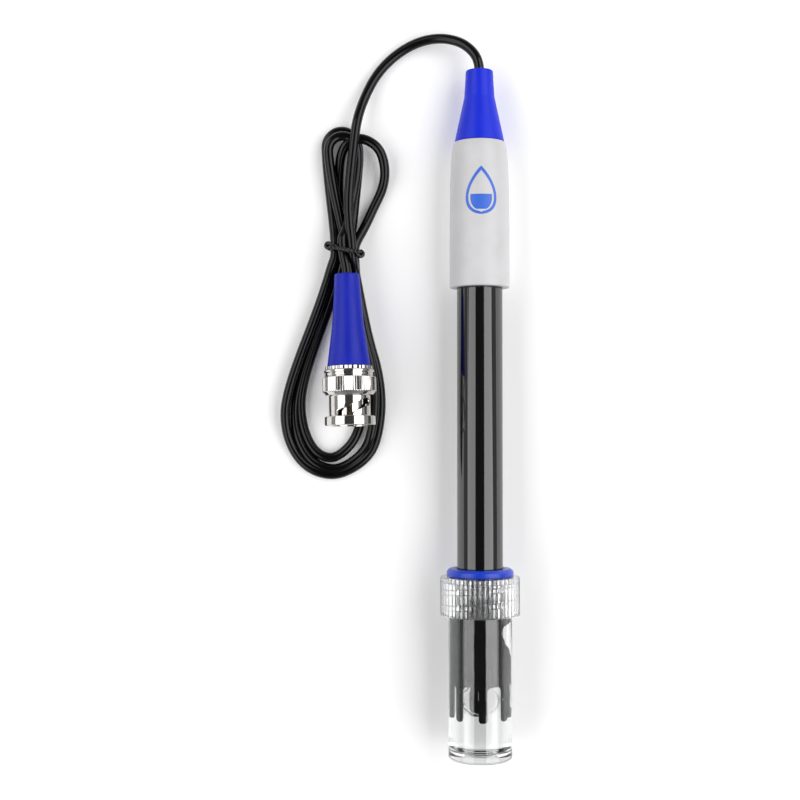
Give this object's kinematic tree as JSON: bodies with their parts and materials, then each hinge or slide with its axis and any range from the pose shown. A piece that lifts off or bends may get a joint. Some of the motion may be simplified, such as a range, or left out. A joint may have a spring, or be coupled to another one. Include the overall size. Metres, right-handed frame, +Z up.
{
  "type": "ph electrode",
  "caption": "Combination pH probe with guarded glass bulb, clear storage bottle with ribbed nut, and a coax lead tied in a hank, ending in a bayonet plug.",
  "frame": {"origin": "on the bench under the middle of the lying electrode and its bottle", "axes": "+Y along the electrode from the storage bottle to the cable, +Z up from the bench, +X to the side away from the cable hank"},
  "size_m": [0.0634, 0.1933, 0.021],
  "materials": {
    "black_plastic": "polished",
    "light_grey_plastic": "satin moulded",
    "blue_boot": "soft satin PVC",
    "blue_rubber": "satin silicone",
    "clear_plastic": "clear polystyrene",
    "glass": "clear",
    "white_resin": "cast",
    "ceramic_white": "porous",
    "silver": "tarnished silver",
    "core_insulation": "extruded polyethylene",
    "brass": "plain",
    "gold_brass": "gold plated",
    "nickel_plate": "bright nickel",
    "spring_steel": "plain",
    "grey_rubber": "plain",
    "black_cable": "smooth PVC",
    "tie_plastic": "plain"
  },
  "bodies": {
    "root": {"barrel": "black_plastic", "glass_electrode": "glass", "tip_plug": "white_resin", "top_plug": "white_resin", "ceramic_junction": "ceramic_white", "inner_silver_wire": "silver", "reference_silver_wire": "silver", "stem_stopper": "blue_rubber", "cable_core": "core_insulation", "cable_shield_tail": "silver", "core_solder_joint": "silver", "shield_solder_joint": "silver", "cable_end": "black_cable", "cable_clamp": "brass", "handle": "light_grey_plastic", "strain_relief_boot": "blue_boot", "plug_boot": "blue_boot", "plug_cable_end": "black_cable", "plug_crimp_ferrule": "nickel_plate", "plug_shell": "nickel_plate", "plug_insulator": "white_resin", "plug_centre_pin": "gold_brass", "plug_gasket": "grey_rubber", "plug_retaining_ring": "spring_steel", "plug_thrust_washer": "spring_steel", "plug_outer_contact": "nickel_plate", "cable_lead": "black_cable", "cable_tail": "black_cable", "cable_hank": "black_cable", "twist_tie": "tie_plastic"},
    "bottle": {"storage_bottle": "clear_plastic"},
    "seal": {"bottle_seal": "blue_rubber"},
    "nut": {"bottle_nut": "clear_plastic"},
    "plug_spring": {"plug_wave_spring": "spring_steel"},
    "coupling": {"plug_coupling": "nickel_plate"}
  },
  "joints": [
    {"name": "bottle_pull", "type": "slide", "parent": "root", "child": "bottle", "axis": [0, -0.9997, 0.0258], "range_m": [0, 0.09]},
    {"name": "seal_lift", "type": "slide", "parent": "bottle", "child": "seal", "axis": [0, 0.9997, -0.0258], "range_m": [0, 0.005]},
    {"name": "nut_turn", "type": "hinge", "parent": "seal", "child": "nut", "pos_m": [0, -0.04797, 0.01052], "axis": [0, 0.9997, -0.0258], "range_deg": [0, 450]},
    {"name": "collar_push", "type": "slide", "parent": "root", "child": "plug_spring", "axis": [0.0245, -0.9978, 0.062], "range_m": [0, 0.0012], "stiffness_N_per_m": 1500},
    {"name": "collar_turn", "type": "hinge", "parent": "plug_spring", "child": "coupling", "pos_m": [-0.0342, 0.00477, 0.00979], "axis": [0.0245, -0.9978, 0.062], "continuous": true}
  ],
  "couplings": [
    {"joint": "nut_turn", "follows": "seal_lift", "rad_per_m": 1570.8}
  ]
}
